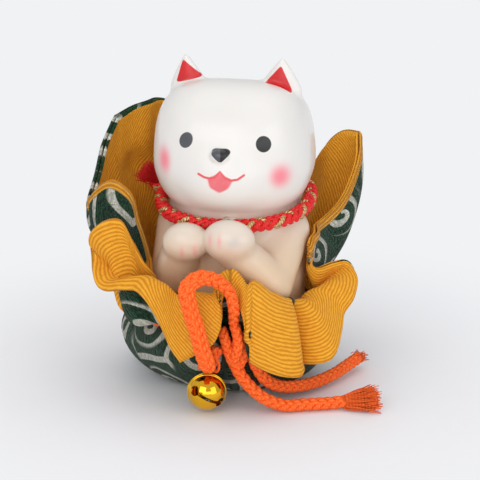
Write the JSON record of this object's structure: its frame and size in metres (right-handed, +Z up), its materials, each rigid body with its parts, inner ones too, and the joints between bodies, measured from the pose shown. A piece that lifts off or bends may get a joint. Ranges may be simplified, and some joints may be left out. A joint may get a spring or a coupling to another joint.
{
  "type": "shiba inu figurine",
  "caption": "Seated ceramic shiba inu figurine wrapped in a knotted square cloth, with a braided cord bow, a collar and a jingle bell that swings and turns.",
  "frame": {"origin": "middle of the flat base that the wrapped cloth rests on", "axes": "+Z up; -Y is the front, where the bow and the bell are; +X is the viewer's right in front of it"},
  "size_m": [0.0827, 0.0767, 0.0945],
  "materials": {
    "glazed_ceramic": "white glazed ceramic, hand painted",
    "green_crepe": "crepe with a printed white vine pattern",
    "ochre_crepe": "ribbed crepe",
    "orange_cord": "braided rayon cord",
    "red_cord": "braided cord with a gold fleck",
    "gilt_brass": "polished gilt",
    "steel_pellet": "plain"
  },
  "bodies": {
    "figurine": {"dog_casting": "glazed_ceramic", "wrap_outer": "green_crepe", "wrap_lining": "ochre_crepe", "tie_cord": "orange_cord", "bow_knot": "orange_cord", "bow_loop": "orange_cord", "tail_front": "orange_cord", "tail_front_fray": "orange_cord", "tail_back": "orange_cord", "tail_back_fray": "orange_cord", "collar_cord": "red_cord", "collar_knot": "red_cord", "collar_tuft": "red_cord"},
    "hanger": {"bell_thread": "orange_cord"},
    "bell": {"bell_upper_shell": "gilt_brass", "bell_lower_shell": "gilt_brass", "bell_eye": "gilt_brass"},
    "pellet": {"bell_pellet": "steel_pellet"}
  },
  "joints": [
    {"name": "bell_swing", "type": "hinge", "parent": "figurine", "child": "hanger", "pos_m": [-0.0071, -0.0386, 0.015], "axis": [0, 1, 0], "range_deg": [-10, 30]},
    {"name": "bell_turn", "type": "hinge", "parent": "hanger", "child": "bell", "pos_m": [-0.0082, -0.03, 0.007], "axis": [0, 0, 1], "range_deg": [-15, 15]},
    {"name": "pellet_roll", "type": "hinge", "parent": "bell", "child": "pellet", "pos_m": [-0.0078, -0.0359, 0.00645], "axis": [1, 0, 0], "range_deg": [-40, 40]}
  ]
}
